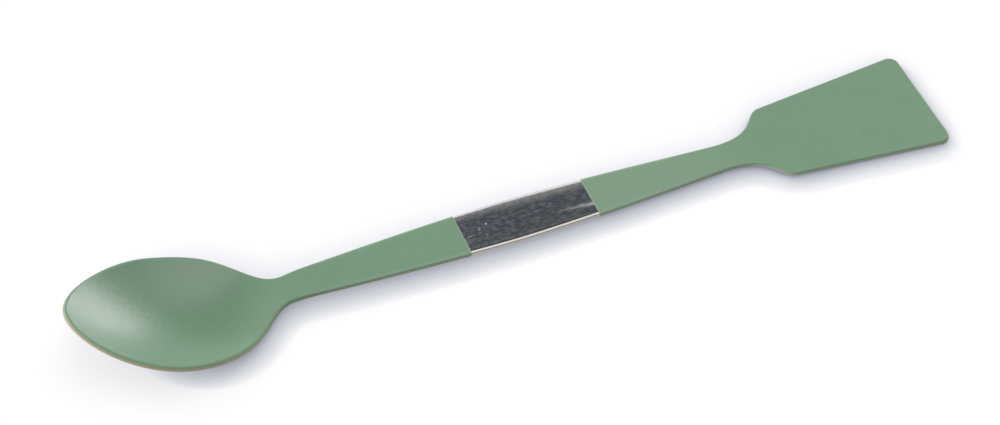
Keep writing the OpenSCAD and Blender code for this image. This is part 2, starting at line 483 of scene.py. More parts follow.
@dataclass(frozen=True)
class Resting:
    """Turns the strip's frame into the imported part's, where it lies on bowl and blade."""

    form: StripForm
    section: Section
    tried_places: int = 4000

    @property
    def foot(self) -> Array:
        """Lowest point of the blade's coated end, about which the strip turns."""
        x = self.form.end_x - self.form.edge_radius
        return np.array([x, 0, -self.form.coat_thickness])

    @property
    def tilt(self) -> float:
        """Angle by which the strip turns about the foot until the bowl meets the table.

        Returns:
            The steepest angle, in radians, from the foot to a point below the bowl.
        """
        x = np.linspace(0, self.form.bend_end_x, self.tried_places)
        whole = self.form.sheet + self.form.coat_thickness
        low = self.form.below_top(x, 0 * x, np.full_like(x, whole))
        reach = self.foot - low
        return float(np.max(np.arctan2(reach[:, 2], reach[:, 0])))

    @property
    def middle(self) -> float:
        """Place midway between the coated tip and the coated end, as the strip rests.

        Returns:
            The place along the length, in the turned strip's frame about the foot.
        """
        places = np.array([0, self.form.end_x])
        grow = np.full(2, self.form.coat_thickness)
        inset, depth = self.section.edge(self.form, places, grow)
        x = np.stack([inset[0], self.form.end_x - inset[1]])
        along = self._turned(self.form.below_top(x, 0 * x, depth))[..., 0]
        return float(along.min() + along.max()) / 2

    def _turned(self, points: Array) -> Array:
        """Turns points about the foot: (x cos + z sin, y, z cos - x sin) of the tilt.

        Args:
            points: Points in the strip's frame, with x, y and z along the last axis.

        Returns:
            The turned points, measured from the foot.
        """
        cos, sin = math.cos(self.tilt), math.sin(self.tilt)
        x, y, z = np.moveaxis(points - self.foot, -1, 0)
        return np.stack([x * cos + z * sin, y, z * cos - x * sin], axis=-1)

    def place(self, points: Array) -> Array:
        """Turns points about the foot and centres the length on the part's origin.

        Args:
            points: Points in the strip's frame, with x, y and z along the last axis.

        Returns:
            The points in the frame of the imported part.
        """
        return self._turned(points) - np.array([self.middle, 0, 0])


# ---------------------------------------------------------------- meshes


@dataclass
class Surface:
    """Points, quads and a rim code for each point, gathered before they become a mesh."""

    points: list[Array] = field(default_factory=list)
    quads: list[Array] = field(default_factory=list)
    rims: list[Array] = field(default_factory=list)

    def add_grid(self, points: Array, rim: Array, closed: bool, inward: bool = False) -> None:
        """Adds a grid of points as quads between neighbouring rows and columns.

        Args:
            points: Grid of points, with rows first, columns next and x, y, z last.
            rim: Rim code of each column's points, or of each point.
            closed: Whether the last column joins the first.
            inward: Whether the faces point into the loops instead of out of them.
        """
        rows, columns = points.shape[:2]
        start = sum(len(p) for p in self.points)
        number = start + np.arange(rows * columns).reshape(rows, columns)
        beside = np.roll(number, -1, axis=1) if closed else number[:, 1:]
        here = number if closed else number[:, :-1]
        quads = np.stack([here[:-1], beside[:-1], beside[1:], here[1:]], axis=-1).reshape(-1, 4)
        self.points.append(points.reshape(-1, 3))
        self.quads.append(quads if inward else quads[:, ::-1])
        self.rims.append(np.broadcast_to(rim, (rows, columns)).ravel())

    def to_object(self, name: str) -> bpy.types.Object:
        """Makes a smooth mesh object with doubled points merged and the rim codes as attribute.

        Args:
            name: Name of the object.

        Returns:
            The object, linked to the scene, at the origin.
        """
        points, quads = np.concatenate(self.points), np.concatenate(self.quads)
        mesh = bpy.data.meshes.new(name)
        mesh.vertices.add(len(points))
        mesh.vertices.foreach_set("co", points.astype(np.float32).ravel())
        mesh.loops.add(quads.size)
        mesh.loops.foreach_set("vertex_index", quads.astype(np.int32).ravel())
        mesh.polygons.add(len(quads))
        starts = np.arange(0, quads.size, quads.shape[1], dtype=np.int32)
        mesh.polygons.foreach_set("loop_start", starts)
        mesh.update(calc_edges=True)
        rim = mesh.attributes.new(RIM_CODE, "FLOAT", "POINT")
        rim.data.foreach_set("value", np.concatenate(self.rims).astype(np.float32))
        self._merge(mesh)
        mesh.polygons.foreach_set("use_smooth", np.ones(len(mesh.polygons), bool))
        piece = bpy.data.objects.new(name, mesh)
        bpy.context.scene.collection.objects.link(piece)
        return piece

    @staticmethod
    def _merge(mesh: bpy.types.Mesh) -> None:
        """Merges points that lie on each other, so that seams and poles are closed.

        Args:
            mesh: The mesh, which is changed.
        """
        work = bmesh.new()
        work.from_mesh(mesh)
        bmesh.ops.remove_doubles(work, verts=work.verts, dist=MERGE_DISTANCE)
        work.to_mesh(mesh)
        work.free()


@dataclass(frozen=True)
class SkinMaker:
    """Makes skins round the strip, placed as the part rests."""

    form: StripForm
    section: Section
    resting: Resting

    def round_stations(self, outline: Outline, grow: Array) -> Array:
        """Loops round the section at each station of the outline.

        A point lies in from the outline along its normal, its y is then scaled by the share
        across, and it goes down from the top of the sheet by the section's depth.

        Args:
            outline: Stations along the +Y side.
            grow: Distance of the skin outside the steel at each station.

        Returns:
            Grid of points in the strip's frame: stations, points of the loop, x y z.
        """
        share, row = self.section.loop
        inset, depth = self.section.edge(self.form, outline.points[:, 0], grow)
        inner = outline.points[:, None] - inset[:, row, None] * outline.normals[:, None]
        return self.form.below_top(inner[..., 0], inner[..., 1] * share, depth[:, row])

    def end_wall(self, outline: Outline, grow: Array) -> Array:
        """Wall across the flat end of the blade, from its top edge down to its bottom edge.

        Args:
            outline: Stations, of which the last is where the corner meets the flat end.
            grow: Distance of the skin outside the steel at each station.

        Returns:
            Grid of points in the strip's frame: rows down the edge, columns across, x y z.
        """
        last = outline.points[-1]
        inset, depth = self.section.edge(self.form, outline.points[-1:, 0], grow[-1:])
        share = np.linspace(-1, 1, self.section.columns + 1)
        x = np.broadcast_to(last[0] - inset[0][:, None], (inset.shape[1], len(share)))
        y = np.broadcast_to(last[1] * share, x.shape)
        return self.form.below_top(x, y, depth[0][:, None] + 0 * x)

    @property
    def loop_rim(self) -> Array:
        """Rim code of each point of a loop."""
        return self.section.rim[self.section.loop[1]]


class Node(Enum):
    """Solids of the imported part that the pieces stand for."""

    STEEL = "steel_body"
    SPOON_COAT = "spoon_coat"
    BLADE_COAT = "blade_coat"


def hand_over(piece: bpy.types.Object, node: Node) -> None:
    """Lets a piece ride on the body and stand for its solid, whose part is hidden.

    Args:
        piece: The finished piece.
        node: The solid that it stands for.
    """
    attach(piece, BODY)
    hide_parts(node.value)
    triangles = sum(len(face.vertices) - 2 for face in piece.data.polygons)
    LOG.info("%s: %d triangles for %s", piece.name, triangles, node.value)


# ---------------------------------------------------------------- shader graphs

Settings = Mapping[str, Any]
Sockets = Mapping[Union[str, int], Any]


@dataclass(frozen=True)
class Signal:
    """A value in a shader graph; each operator on it adds one Math node."""

    graph: "Graph"
    socket: bpy.types.NodeSocket

    def _math(self, operation: str, *operands: Union["Signal", float]) -> "Signal":
        """Adds a Math node of one operation on the operands."""
        node = self.graph.add(
            "ShaderNodeMath", {"operation": operation}, dict(enumerate(operands))
        )
        return Signal(self.graph, node.outputs[0])

    def __add__(self, other: Union["Signal", float]) -> "Signal":
        """Adds a value."""
        return self._math("ADD", self, other)

    def __radd__(self, other: float) -> "Signal":
        """Adds to a number."""
        return self._math("ADD", other, self)

    def __sub__(self, other: Union["Signal", float]) -> "Signal":
        """Takes a value away."""
        return self._math("SUBTRACT", self, other)

    def __rsub__(self, other: float) -> "Signal":
        """Is taken away from a number."""
        return self._math("SUBTRACT", other, self)

    def __mul__(self, other: Union["Signal", float]) -> "Signal":
        """Multiplies by a value."""
        return self._math("MULTIPLY", self, other)

    def __rmul__(self, other: float) -> "Signal":
        """Multiplies a number."""
        return self._math("MULTIPLY", other, self)

    def __pow__(self, other: float) -> "Signal":
        """Raises to a power."""
        return self._math("POWER", self, other)

    def __abs__(self) -> "Signal":
        """Drops the sign."""
        return self._math("ABSOLUTE", self)

    def at_least(self, other: Union["Signal", float]) -> "Signal":
        """The larger of this and a value."""
        return self._math("MAXIMUM", self, other)

    def at_most(self, other: Union["Signal", float]) -> "Signal":
        """The smaller of this and a value."""
        return self._math("MINIMUM", self, other)

    def step(self, low: float, high: float) -> "Signal":
        """Smooth step from 0 at low to 1 at high; low may lie above high.

        Args:
            low: Value at which the step starts.
            high: Value at which the step is complete.

        Returns:
            The step, 0 to 1.
        """
        rising = low < high
        node = self.graph.add(
            "ShaderNodeMapRange",
            {"interpolation_type": "SMOOTHSTEP"},
            {
                "Value": self,
                "From Min": min(low, high),
                "From Max": max(low, high),
                "To Min": 0.0 if rising else 1.0,
                "To Max": 1.0 if rising else 0.0,
            },
        )
        return Signal(self.graph, node.outputs["Result"])

    def band(self, middle: float, half: float) -> "Signal":
        """A soft line: 1 at the middle value, fading to 0 at half a width either side."""
        return abs(self - middle).step(half, 0.0)


class Graph:
    """The node tree of one finish, with one call for each kind of node it needs."""

    def __init__(self, tree: bpy.types.NodeTree) -> None:
        """Starts with an empty tree."""
        self.tree = tree
        tree.nodes.clear()

    def add(
        self, kind: str, settings: Optional[Settings] = None, sockets: Optional[Sockets] = None
    ) -> bpy.types.Node:
        """Adds a node, makes its settings, then fills its input sockets.

        Args:
            kind: Type of the node.
            settings: Its properties, set first.
            sockets: Values, signals or sockets for its inputs, by name or number.

        Returns:
            The node.
        """
        node = self.tree.nodes.new(kind)
        for name, value in (settings or {}).items():
            setattr(node, name, value)
        for name, value in (sockets or {}).items():
            source = value.socket if isinstance(value, Signal) else value
            if isinstance(source, bpy.types.NodeSocket):
                self.tree.links.new(source, node.inputs[name])
            else:
                node.inputs[name].default_value = source
        return node

    def place_mm(self) -> bpy.types.NodeSocket:
        """Place on the object in millimetres."""
        coordinates = self.add("ShaderNodeTexCoord")
        return self.scaled(coordinates.outputs["Object"], (1 / MM, 1 / MM, 1 / MM))

    def scaled(self, vector: bpy.types.NodeSocket, by: Triple) -> bpy.types.NodeSocket:
        """Multiplies a vector by one number for each axis."""
        node = self.add("ShaderNodeVectorMath", {"operation": "MULTIPLY"}, {0: vector, 1: by})
        return node.outputs[0]

    def turned(self, vector: bpy.types.NodeSocket, angle: float) -> bpy.types.NodeSocket:
        """Turns a vector about the upright axis by an angle in degrees."""
        sockets = {"Vector": vector, "Rotation": (0, 0, math.radians(angle))}
        return self.add("ShaderNodeMapping", None, sockets).outputs[0]

    def axis(self, vector: bpy.types.NodeSocket, name: str) -> Signal:
        """One axis, "X", "Y" or "Z", of a vector."""
        return Signal(self, self.add("ShaderNodeSeparateXYZ", None, {0: vector}).outputs[name])

    def noise(self, vector: bpy.types.NodeSocket, scale: float, detail: float = 2.0) -> Signal:
        """Fractal noise from 0 to 1 with a number of features to each unit of the vector."""
        sockets = {"Vector": vector, "Scale": scale, "Detail": detail}
        return Signal(self, self.add("ShaderNodeTexNoise", None, sockets).outputs[0])

    def stretched(
        self, vector: bpy.types.NodeSocket, scales: Triple, detail: float = 2.0
    ) -> Signal:
        """Fractal noise with its own number of features to each unit along every axis."""
        return self.noise(self.scaled(vector, scales), 1.0, detail)

    def attribute(self, name: str) -> Signal:
        """A value stored on the mesh's points."""
        node = self.add("ShaderNodeAttribute", {"attribute_name": name})
        return Signal(self, node.outputs["Fac"])

    def constant(self, vector: Sequence[float]) -> bpy.types.NodeSocket:
        """A fixed direction."""
        return self.add("ShaderNodeCombineXYZ", None, dict(enumerate(vector))).outputs[0]

    def mix(self, factor: Union[Signal, float], first: Any, second: Any) -> bpy.types.NodeSocket:
        """Mixes two colours: the first where the factor is 0, the second where it is 1."""
        node = self.add(
            "ShaderNodeMix", {"data_type": "RGBA"}, {"Factor": factor, 6: first, 7: second}
        )
        return node.outputs[2]

    def bump(self, height_mm: Signal) -> bpy.types.NodeSocket:
        """Turns a height in millimetres into a surface normal."""
        node = self.add("ShaderNodeBump", None, {"Height": height_mm, "Distance": MM})
        return node.outputs["Normal"]

    def output(self, kind: str, shader: bpy.types.NodeSocket) -> None:
        """Adds the output node of a material or a world."""
        self.add(kind, None, {"Surface": shader})

    def finish(self, sockets: Sockets) -> None:
        """Adds a piece's surface shader with the values of its sockets, and the output."""
        shader = self.add("ShaderNodeBsdfPrincipled", None, sockets)
        self.output("ShaderNodeOutputMaterial", shader.outputs[0])


def new_material(name: str) -> tuple[bpy.types.Material, Graph]:
    """Makes an empty node material.

    Args:
        name: Name of the material.

    Returns:
        The material and its graph.
    """
    material = bpy.data.materials.new(name)
    material.use_nodes = True
    return material, Graph(material.node_tree)


# ---------------------------------------------------------------- finishes


@dataclass(frozen=True)
class CoatFinish:
    """Satin sprayed coat: fine orange peel, faint mottling, a painted sheen along the handle, painted
    bounce light on the walls and a painted warm reflection at the foot.

    Places are in millimetres along the part, and the borders are the two where the coat ends.
    A name with "line" holds a soft line's middle and half width. One with "ends" holds where a
    smooth step starts and where it is complete. One with "rim" holds rim codes in place of
    millimetres. Scales are features to the millimetre.
    """

    borders: Pair
    colour: Colour = display(118, 149, 120)
    shade: Colour = display(113, 144, 115)
    cloud_scale: float = 0.12
    peel_scale: float = 0.9
    grain_scale: float = 2.2
    mottle_shares: Triple = (0.3, 0.3, 0.4)
    mottle_ends: Pair = (0.3, 0.7)
    # painted sheen: a lighter, greyer colour along the handle stands in for reflected light
    painted_sheen_colour: Colour = display(130, 155, 130)
    sheen_rise_ends: Pair = (12.0, 18.0)
    sheen_fall_ends: Pair = (54.0, 38.0)
    sheen_amount: float = 0.5
    lip_colour: Colour = display(133, 148, 129)
    lip_half: float = 0.25
    # painted bounce light: the walls are lighter than the coat's own colour, more so on the blade
    wall_colour_with_painted_light: Colour = display(132, 156, 121)
    blade_wall_colour_with_painted_light: Colour = display(154, 174, 141)
    blade_wall_ends: Pair = (-50.0, 20.0)
    wall_rim_ends: Pair = (0.75, 1.2)
    # painted warm reflection: a warm line along the foot of the walls, warmer under the bowl
    foot_reflection_colour: Colour = display(204, 188, 162)
    bowl_foot_reflection_colour: Colour = display(216, 170, 132)
    bowl_foot_ends: Pair = (-58.0, -50.0)
    foot_reflection_rim_line: Pair = (2.12, 0.34)
    roughness: float = 0.33
    peel_roughness: float = 0.12
    wall_roughness: float = 0.3
    rough_rim_ends: Pair = (0.5, 1.0)
    peel_height: float = 0.050
    grain_height: float = 0.020

    def build(self) -> bpy.types.Material:
        """Makes the material.

        Returns:
            The material of both coats.
        """
        material, graph = new_material("coat_green")
        place = graph.place_mm()
        rim = graph.attribute(RIM_CODE)
        along = graph.axis(place, "X")
        cloud = graph.noise(place, self.cloud_scale)
        peel = graph.noise(place, self.peel_scale)
        grain = graph.noise(place, self.grain_scale)
        cloud_share, peel_share, grain_share = self.mottle_shares
        mottle = cloud * cloud_share + peel * peel_share + grain * grain_share
        face = graph.mix(mottle.step(*self.mottle_ends), self.shade, self.colour)
        # painted sheen: the coat is lightened between two places along the handle in place of reflected
        # light
        painted_sheen = along.step(*self.sheen_rise_ends) * along.step(*self.sheen_fall_ends)
        sheened = graph.mix(painted_sheen * self.sheen_amount, face, self.painted_sheen_colour)
        left, right = (along.band(border, self.lip_half) for border in self.borders)
        lipped = graph.mix(left + right, sheened, self.lip_colour)
        # painted bounce light: the walls take a lighter colour, lighter still towards the blade
        blade = along.step(*self.blade_wall_ends)
        side = graph.mix(blade, self.wall_colour_with_painted_light, self.blade_wall_colour_with_painted_light)
        wall = graph.mix(rim.step(*self.wall_rim_ends), lipped, side)
        # painted warm reflection along the foot of the walls
        past_bowl = along.step(*self.bowl_foot_ends)
        foot = graph.mix(past_bowl, self.bowl_foot_reflection_colour, self.foot_reflection_colour)
        skin = graph.mix(rim.band(*self.foot_reflection_rim_line), wall, foot)
        uneven = (peel - NOISE_MIDDLE) * self.peel_roughness
        edge = rim.step(*self.rough_rim_ends) * self.wall_roughness
        normal = graph.bump(peel * self.peel_height + grain * self.grain_height)
        roughness = self.roughness + uneven + edge
        graph.finish({"Base Color": skin, "Roughness": roughness, "Normal": normal})
        return material


@dataclass(frozen=True)
class Scuffs:
    """Rubbed places on the bare band, in millimetres; a mark's own name holds its strength.

    A name with "line" holds a soft line's middle and half width. One with "ends" holds where a
    smooth step starts and where it is complete. A lean is how far a line moves across for each
    millimetre along, and an offset is how far across it lies at the middle of the part.
    """

    grain_scale: Triple = (1.8, 5.0, 1.0)
    fleck_scale: Triple = (1.6, 3.2, 1.0)
    detail: float = 3.0
    streak_lean: float = -0.08
    streak_offset: float = -0.73
    streak_wobble: float = 0.25
    streak_half: float = 0.5
    streak_ends: Pair = (3.0, 12.0)
    streak: float = 0.4
    tail_half: float = 1.2
    tail_ends: Pair = (8.0, 15.0)
    tail: float = 0.6
    patch_along_line: Pair = (-8.0, 1.1)
    patch_across_line: Pair = (-0.1, 1.4)
    patch_grain_ends: Pair = (0.45, 0.65)
    patch: float = 0.8
    cut_lean: float = 0.11
    cut_offset: float = -0.015
    cut_half: float = 0.16
    cut_along_line: Pair = (-9.9, 1.5)
    corner_along_ends: Pair = (-7.5, -10.5)
    corner_across_ends: Pair = (1.6, 3.4)
    corner_grain_ends: Pair = (0.48, 0.66)
    corner: float = 0.6
    border_along_ends: Pair = (-9.0, -11.5)
    border_across_line: Pair = (-2.3, 1.4)
    border: float = 0.35
    fleck_ends: Pair = (0.50, 0.75)
    fleck_across_ends: Pair = (-4.3, -3.5)
    fleck: float = 0.4

    def build(self, graph: Graph, place: bpy.types.NodeSocket) -> Signal:
        """Adds up a streak that widens to one end, a patch, a cut, a corner and flecks.

        Args:
            graph: Graph of the material.
            place: Place in millimetres.

        Returns:
            How much wear the marks add, from 0.
        """
        along, across = graph.axis(place, "X"), graph.axis(place, "Y")
        grain = graph.stretched(place, self.grain_scale, self.detail)
        spots = graph.stretched(place, self.fleck_scale, self.detail).step(*self.fleck_ends)
        wobble = (grain - NOISE_MIDDLE) * self.streak_wobble
        drift = across - along * self.streak_lean - self.streak_offset + wobble
        streak = drift.band(0.0, self.streak_half) * along.step(*self.streak_ends)
        tail = drift.band(0.0, self.tail_half) * along.step(*self.tail_ends)
        patch = along.band(*self.patch_along_line) * across.band(*self.patch_across_line)
        cut = (across - along * self.cut_lean - self.cut_offset).band(0.0, self.cut_half)
        corner = along.step(*self.corner_along_ends) * across.step(*self.corner_across_ends)
        border = along.step(*self.border_along_ends) * across.band(*self.border_across_line)
        marks = (
            tail * self.tail,
            patch * grain.step(*self.patch_grain_ends) * self.patch,
            cut * along.band(*self.cut_along_line),
            corner * grain.step(*self.corner_grain_ends) * self.corner,
            border * self.border,
            spots * self.fleck * across.step(*self.fleck_across_ends),
        )
        return sum(marks, streak * self.streak)


@dataclass(frozen=True)
class SteelFinish:
    """Rolled stainless steel: mottled, scuffed, turned down to one edge, with painted shade and a
    painted reflection line along the other and a painted warm reflection on the walls.

    Places across and along the band are in millimetres. A name with "line" holds a soft
    line's middle and half width. One with "ends" holds where a smooth step starts and where
    it is complete. One with "rim" holds rim codes. Scales are features to the millimetre
    along each axis.
    """

    colour: Colour = (0.87, 0.88, 0.89, 1.0)
    dull_colour: Colour = (0.54, 0.56, 0.58, 1.0)
    blotch_scale: Triple = (0.9, 1.7, 1.0)
    blotch_ends: Pair = (0.3, 0.7)
    rolling_detail: float = 4.0
    warm_colour: Colour = (0.73, 0.71, 0.68, 1.0)
    cloud_scale: Triple = (0.25, 0.7, 0.7)
    warmth_across: float = 0.2
    warmth_along: float = 0.03
    warm_at: float = 1.2
    warm_amount: float = 0.6
    wear_and_reflection_colour: Colour = (0.84, 0.83, 0.80, 1.0)
    scuffs: Scuffs = Scuffs()
    # painted reflection: a light line just inside the near edge, in the colour of scuffed steel
    near_reflection_line: Pair = (-4.12, 0.3)
    near_reflection_amount: float = 0.35
    scratch_angles: Pair = (12.0, -9.0)
    scratch_scale: Triple = (0.7, 9.0, 1.0)
    scratch_ends: Pair = (0.73, 0.82)
    scratch_wear: float = 0.25
    scratch_height: float = 0.0020
    speck_colour: Colour = (0.85, 0.85, 0.83, 1.0)
    speck_along_line: Pair = (-6.25, 0.25)
    speck_across_line: Pair = (0.76, 0.25)
    speck_ends: Pair = (0.3, 0.6)
    near_ends: Pair = (-3.0, -4.0)
    # painted shade: the near top edge is darkened, which dims the lamp's reflected line there
    near_edge_shade_colour: Colour = (0.275, 0.265, 0.25, 1.0)
    edge_rim_ends: Pair = (0.12, 0.30)
    # painted warm reflection: the walls of the steel are warm brown
    wall_colour_with_painted_light: Colour = (0.62, 0.55, 0.47, 1.0)
    wall_rim_ends: Pair = (0.95, 1.3)
    roughness: float = 0.15
    blotch_roughness: float = 0.07
    wear_roughness: float = 0.2
    edge_smoothness: float = 0.06
    fall_start: float = 2.35
    fall_turn: float = 0.033
    fall: float = 0.046
    flat_rim: float = 0.33
    rim_sink: float = 0.37
    streak_scale: Triple = (0.12, 4.0, 4.0)
    streak_height: float = 0.0012

    def _scratches(self, graph: Graph, place: bpy.types.NodeSocket, angle: float) -> Signal:
        """Short thin scratches at an angle to the length: the crests of stretched noise."""
        ripples = graph.stretched(graph.turned(place, angle), self.scratch_scale, 0.0)
        return ripples.step(*self.scratch_ends)

    def build(self) -> bpy.types.Material:
        """Makes the material.

        The bump adds three heights: rolled streaks less the scratches, a fall with the square
        of the distance past its start, and a lift with the square of the rim code up to a
        limit, which keeps the near edge flat for longer.

        Returns:
            The material of the strip.
        """
        material, graph = new_material("steel_rolled")
        place = graph.place_mm()
        rim = graph.attribute(RIM_CODE)
        along, across = graph.axis(place, "X"), graph.axis(place, "Y")
        near = across.step(*self.near_ends)
        blotch = graph.stretched(place, self.blotch_scale, self.rolling_detail)
        blotch = blotch.step(*self.blotch_ends)
        blotched = graph.mix(blotch, self.dull_colour, self.colour)
        cloud = graph.stretched(place, self.cloud_scale) - NOISE_MIDDLE
        warmth = abs(across) * self.warmth_across + along * self.warmth_along + cloud
        warm = warmth.step(0.0, self.warm_at) * self.warm_amount
        face = graph.mix(warm, blotched, self.warm_colour)
        one, other = (self._scratches(graph, place, angle) for angle in self.scratch_angles)
        scratches = one + other
        # painted reflection: the line inside the near edge joins the scuffs and scratches and lightens
        # the steel there
        near_reflection = across.band(*self.near_reflection_line) * self.near_reflection_amount
        wear_and_reflection = self.scuffs.build(graph, place) + near_reflection + scratches * self.scratch_wear
        rubbed_and_reflecting = graph.mix(wear_and_reflection.at_most(1.0), face, self.wear_and_reflection_colour)
        dust = along.band(*self.speck_along_line) * across.band(*self.speck_across_line)
        dust = dust.step(*self.speck_ends)
        dusty = graph.mix(dust, rubbed_and_reflecting, self.speck_colour)
        # painted shade on the near top edge, dimming its reflected line
        near_edge = rim.step(*self.edge_rim_ends) * near
        edge_shaded = graph.mix(near_edge, dusty, self.near_edge_shade_colour)
        # painted warm reflection on the walls of the steel
        skin = graph.mix(rim.step(*self.wall_rim_ends), edge_shaded, self.wall_colour_with_painted_light)
        uneven = (blotch - NOISE_MIDDLE) * self.blotch_roughness + wear_and_reflection * self.wear_roughness
        side = (across + along * self.fall_turn - self.fall_start).at_least(0.0)
        level = rim.at_most(self.flat_rim) * near
        streaks = graph.stretched(place, self.streak_scale, self.rolling_detail)
        fine = streaks * self.streak_height - scratches * self.scratch_height
        bumps = fine - side * side * self.fall + level * level * self.rim_sink
        graph.finish(
            {
                "Base Color": skin,
                "Metallic": 1.0 - dust,
                "Roughness": self.roughness + uneven - near_edge * self.edge_smoothness,
                "Normal": graph.bump(bumps),
            }
        )
        return material


@dataclass(frozen=True)
class Shade:
    """Soft shade on the table from one broad light that reaches round the object.

    The light is seen from the table under a bearing and a height. The share of its rays
    that the object stops within the reach, raised to a power and weighted, is the shade.
    """

    bearing: float
    height: float
    reach: float
    amount: float
    power: float
    samples: int = 8

    def build(self, graph: Graph) -> Signal:
        """How much light is lost at a point, from 0.

        Args:
            graph: Graph of the table's material.

        Returns:
            The loss as a signal.
        """
        open_share = graph.add(
            "ShaderNodeAmbientOcclusion",
            {"samples": self.samples, "only_local": False},
            {"Distance": self.reach, "Normal": graph.constant(way_to(self.bearing, self.height))},
        ).outputs["AO"]
        return (1.0 - Signal(graph, open_share)) ** self.power * self.amount


@dataclass(frozen=True)
class FloorFinish:
    """White light table: it shows as white where nothing shades it and keeps soft shadows."""

    colour: Colour = (0.24, 0.24, 0.24, 1.0)
    glow_colour: Colour = (1.0, 1.0, 1.0, 1.0)
    shade_colour: Colour = (0.0, 0.05, 0.17, 1.0)
    lift: float = 0.80
    shades: tuple[Shade, ...] = (
        Shade(bearing=84.0, height=0.0, reach=5.0 * MM, amount=0.90, power=0.62),
        Shade(bearing=-102.0, height=0.0, reach=11.9 * MM, amount=0.50, power=0.64),
        Shade(bearing=50.0, height=47.0, reach=20.0 * MM, amount=0.126, power=0.67),
    )

    def build(self) -> bpy.types.Material:
        """Makes the material: matt, with a glow that only the eye and reflections see.

        Returns:
            The material of the table, which is clear when seen from below.
        """
        material, graph = new_material("table_white")
        path = graph.add("ShaderNodeLightPath")
        seen = Signal(graph, path.outputs["Is Camera Ray"])
        for ray in ("Is Glossy Ray", "Is Transmission Ray"):
            seen = seen.at_least(Signal(graph, path.outputs[ray]))
        first, *others = (shade.build(graph) for shade in self.shades)
        loss = sum(others, first)
        glow_colour = graph.mix(1.0 - loss, self.shade_colour, self.glow_colour)
        matt = graph.add("ShaderNodeBsdfDiffuse", None, {"Color": self.colour})
        glow = graph.add(
            "ShaderNodeEmission", None, {"Color": glow_colour, "Strength": seen * self.lift}
        )
        white = graph.add("ShaderNodeAddShader", None, {0: matt.outputs[0], 1: glow.outputs[0]})
        clear = graph.add("ShaderNodeBsdfTransparent")
        below = graph.add("ShaderNodeNewGeometry").outputs["Backfacing"]
        shader = graph.add(
            "ShaderNodeMixShader", None, {0: below, 1: white.outputs[0], 2: clear.outputs[0]}
        )
        graph.output("ShaderNodeOutputMaterial", shader.outputs[0])
        return material


# ---------------------------------------------------------------- pieces


@dataclass
class SteelStrip:
    """The one-piece steel strip: spoon, handle and blade, bare in the middle."""

    maker: SkinMaker
    bowl_steps: int = 42
    coated_steps: int = 26
    bare_steps: int = 90
    shoulder_steps: int = 30
    corner_steps: int = 12

    def outline(self) -> Outline:
        """Stations from the tip to the end, close together along the bare band.

        Returns:
            The whole +Y side of the strip.
        """
        form = self.maker.form
        stops = (form.bowl_length, form.bare_start_x, form.bare_end_x, form.blade_neck_x)
        counts = (self.coated_steps, self.bare_steps, self.coated_steps)
        places = np.concatenate(
            [np.linspace(a, b, n + 1)[1:] for a, b, n in zip(stops, stops[1:], counts)]
        )
        return Outline.joined(
            [
                form.tip(),
                form.rim_front(self.bowl_steps),
                form.rim_back(self.bowl_steps),
                form.handle(places),
                form.shoulder(self.shoulder_steps),
                form.blade_side(1, self.corner_steps),
            ]
        )

    def build(self, finish: SteelFinish) -> bpy.types.Object:
        """Builds the strip and dresses it.

        Args:
            finish: Finish of the steel.

        Returns:
            The finished piece.
        """
        outline, place = self.outline(), self.maker.resting.place
        grow = np.zeros(len(outline.points))
        surface = Surface()
        loops = place(self.maker.round_stations(outline, grow))
        surface.add_grid(loops, self.maker.loop_rim, closed=True)
        wall = place(self.maker.end_wall(outline, grow))
        surface.add_grid(wall, self.maker.section.rim[:, None], closed=False)
        piece = surface.to_object("steel_strip")
        piece.data.materials.append(finish.build())
        hand_over(piece, Node.STEEL)
        return piece


